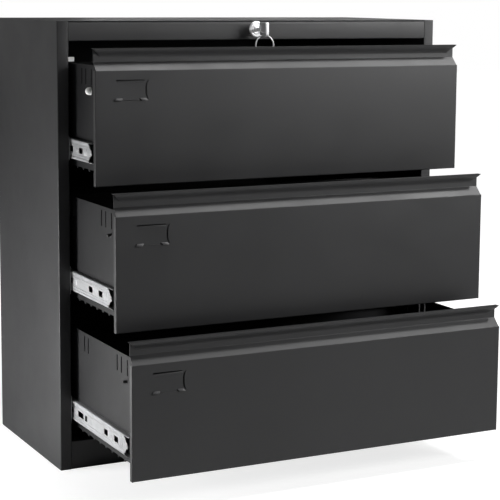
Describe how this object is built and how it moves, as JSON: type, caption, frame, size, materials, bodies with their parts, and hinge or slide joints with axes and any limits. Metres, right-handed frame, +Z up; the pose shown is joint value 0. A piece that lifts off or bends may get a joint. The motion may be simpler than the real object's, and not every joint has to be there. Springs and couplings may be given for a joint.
{
  "type": "lateral filing cabinet",
  "caption": "Wide steel filing cabinet with inset drawers on ball slides, full-width folded pulls, and a central key lock that bars the drawers through a rod and hooked bar.",
  "frame": {"origin": "centre of the cabinet's footprint, on the floor, midway between its outer sides and between its front and back", "axes": "+X to the right of a person facing the drawers, +Y from the front to the back, +Z up"},
  "size_m": [0.995, 0.7926, 1.03],
  "materials": {
    "cabinet_black": "fine-textured semi-matte black powder coat",
    "drawer_black": "matte black paint",
    "zinc_steel": "bright zinc plate",
    "lock_nickel": "satin nickel",
    "white_nylon": "natural white nylon",
    "bright_wire": "polished wire"
  },
  "bodies": {
    "cabinet": {"left_side_panel": "cabinet_black", "right_side_panel": "cabinet_black", "back_panel": "cabinet_black", "top_panel": "cabinet_black", "bottom_panel": "cabinet_black", "top_rail": "cabinet_black", "kick_rail": "cabinet_black", "left_inner_panel": "cabinet_black", "right_inner_panel": "cabinet_black", "upper_left_runner": "zinc_steel", "upper_right_runner": "zinc_steel", "middle_left_runner": "zinc_steel", "middle_right_runner": "zinc_steel", "lower_left_runner": "zinc_steel", "lower_right_runner": "zinc_steel", "runner_rivets": "zinc_steel", "lock_housing": "lock_nickel", "lock_nut": "zinc_steel", "bar_guides": "white_nylon", "crank_bracket": "zinc_steel"},
    "upper_drawer": {"upper_front": "cabinet_black", "upper_left_side": "drawer_black", "upper_right_side": "drawer_black", "upper_back": "drawer_black", "upper_floor": "drawer_black", "upper_file_bars": "drawer_black", "upper_left_slide": "zinc_steel", "upper_right_slide": "zinc_steel", "upper_catch_stud": "white_nylon"},
    "middle_drawer": {"middle_front": "cabinet_black", "middle_left_side": "drawer_black", "middle_right_side": "drawer_black", "middle_back": "drawer_black", "middle_floor": "drawer_black", "middle_file_bars": "drawer_black", "middle_left_slide": "zinc_steel", "middle_right_slide": "zinc_steel", "middle_catch_stud": "drawer_black"},
    "lower_drawer": {"lower_front": "cabinet_black", "lower_left_side": "drawer_black", "lower_right_side": "drawer_black", "lower_back": "drawer_black", "lower_floor": "drawer_black", "lower_file_bars": "drawer_black", "lower_left_slide": "zinc_steel", "lower_right_slide": "zinc_steel", "lower_catch_stud": "drawer_black"},
    "upper_cages": {"upper_ball_cages": "zinc_steel"},
    "middle_cages": {"middle_ball_cages": "zinc_steel"},
    "lower_cages": {"lower_ball_cages": "zinc_steel"},
    "lock_cylinder": {"lock_plug": "lock_nickel", "lock_cam": "zinc_steel", "lock_key": "lock_nickel"},
    "ring": {"key_ring": "bright_wire"},
    "rod": {"lock_rod": "zinc_steel"},
    "crank": {"lock_crank": "zinc_steel"},
    "bar": {"lock_bar": "zinc_steel"}
  },
  "joints": [
    {"name": "upper_drawer_slide", "type": "slide", "parent": "cabinet", "child": "upper_drawer", "axis": [0, -1, 0], "range_m": [-0.154, 0.2]},
    {"name": "upper_cages_slide", "type": "slide", "parent": "cabinet", "child": "upper_cages", "axis": [0, -1, 0], "range_m": [-0.077, 0.1]},
    {"name": "middle_drawer_slide", "type": "slide", "parent": "cabinet", "child": "middle_drawer", "axis": [0, -1, 0], "range_m": [-0.268, 0.086]},
    {"name": "middle_cages_slide", "type": "slide", "parent": "cabinet", "child": "middle_cages", "axis": [0, -1, 0], "range_m": [-0.134, 0.043]},
    {"name": "lower_drawer_slide", "type": "slide", "parent": "cabinet", "child": "lower_drawer", "axis": [0, -1, 0], "range_m": [-0.354, 0]},
    {"name": "lower_cages_slide", "type": "slide", "parent": "cabinet", "child": "lower_cages", "axis": [0, -1, 0], "range_m": [-0.177, 0]},
    {"name": "lock_bar_lift", "type": "slide", "parent": "cabinet", "child": "bar", "axis": [0, 0, 1], "range_m": [-0.02121, 0]},
    {"name": "lock_turn", "type": "hinge", "parent": "cabinet", "child": "lock_cylinder", "pos_m": [0, -0.2175, 1.0093], "axis": [0, 1, 0], "range_deg": [-90, 0]},
    {"name": "crank_turn", "type": "hinge", "parent": "cabinet", "child": "crank", "pos_m": [-0.4695, -0.1815, 1.0083], "axis": [0, 1, 0], "range_deg": [-90, 0]},
    {"name": "lock_rod_slide", "type": "slide", "parent": "cabinet", "child": "rod", "axis": [1, 0, 0], "range_m": [0, 0.02121]},
    {"name": "key_ring_swing", "type": "hinge", "parent": "lock_cylinder", "child": "ring", "pos_m": [0, -0.2605, 0.9966], "axis": [1, 0, 0], "range_deg": [-70, 25]}
  ],
  "couplings": [
    {"joint": "upper_cages_slide", "follows": "upper_drawer_slide", "ratio": 0.5},
    {"joint": "middle_cages_slide", "follows": "middle_drawer_slide", "ratio": 0.5},
    {"joint": "lower_cages_slide", "follows": "lower_drawer_slide", "ratio": 0.5},
    {"joint": "lock_turn", "follows": "lock_bar_lift", "rad_per_m": 74.048},
    {"joint": "crank_turn", "follows": "lock_bar_lift", "rad_per_m": 74.048},
    {"joint": "lock_rod_slide", "follows": "lock_bar_lift", "ratio": -1}
  ]
}
